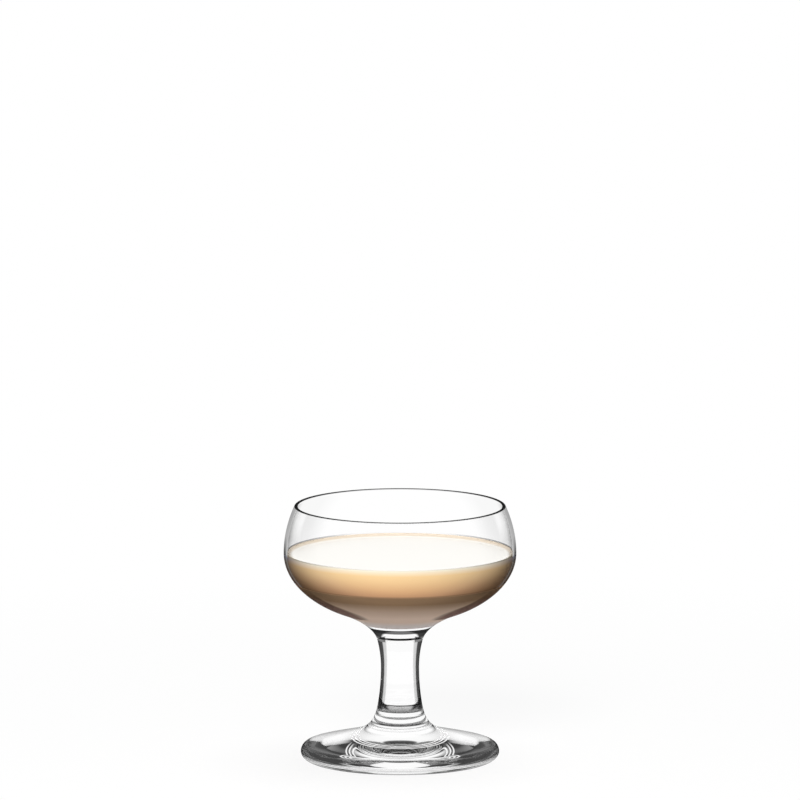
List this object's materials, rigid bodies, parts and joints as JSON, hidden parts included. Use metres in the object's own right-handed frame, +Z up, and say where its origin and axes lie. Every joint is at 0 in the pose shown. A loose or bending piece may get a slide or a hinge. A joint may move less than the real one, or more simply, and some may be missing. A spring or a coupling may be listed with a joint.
{
  "type": "liqueur glass",
  "caption": "Short-stemmed clear glass coupe for liqueur: a wide bowl closing in to a rounded rim, a waisted stem and a thick round foot, filled with cream liqueur.",
  "frame": {"origin": "middle of the plane that the foot stands on", "axes": "+Z up along the glass's axis of turning; +X and +Y across it, alike on every side"},
  "size_m": [0.065, 0.065, 0.072],
  "materials": {
    "clear_glass": "fire-polished",
    "cream_liqueur": "smooth and opaque"
  },
  "bodies": {
    "root": {"bowl": "clear_glass", "stem": "clear_glass", "foot": "clear_glass", "liqueur": "cream_liqueur"}
  },
  "joints": []
}
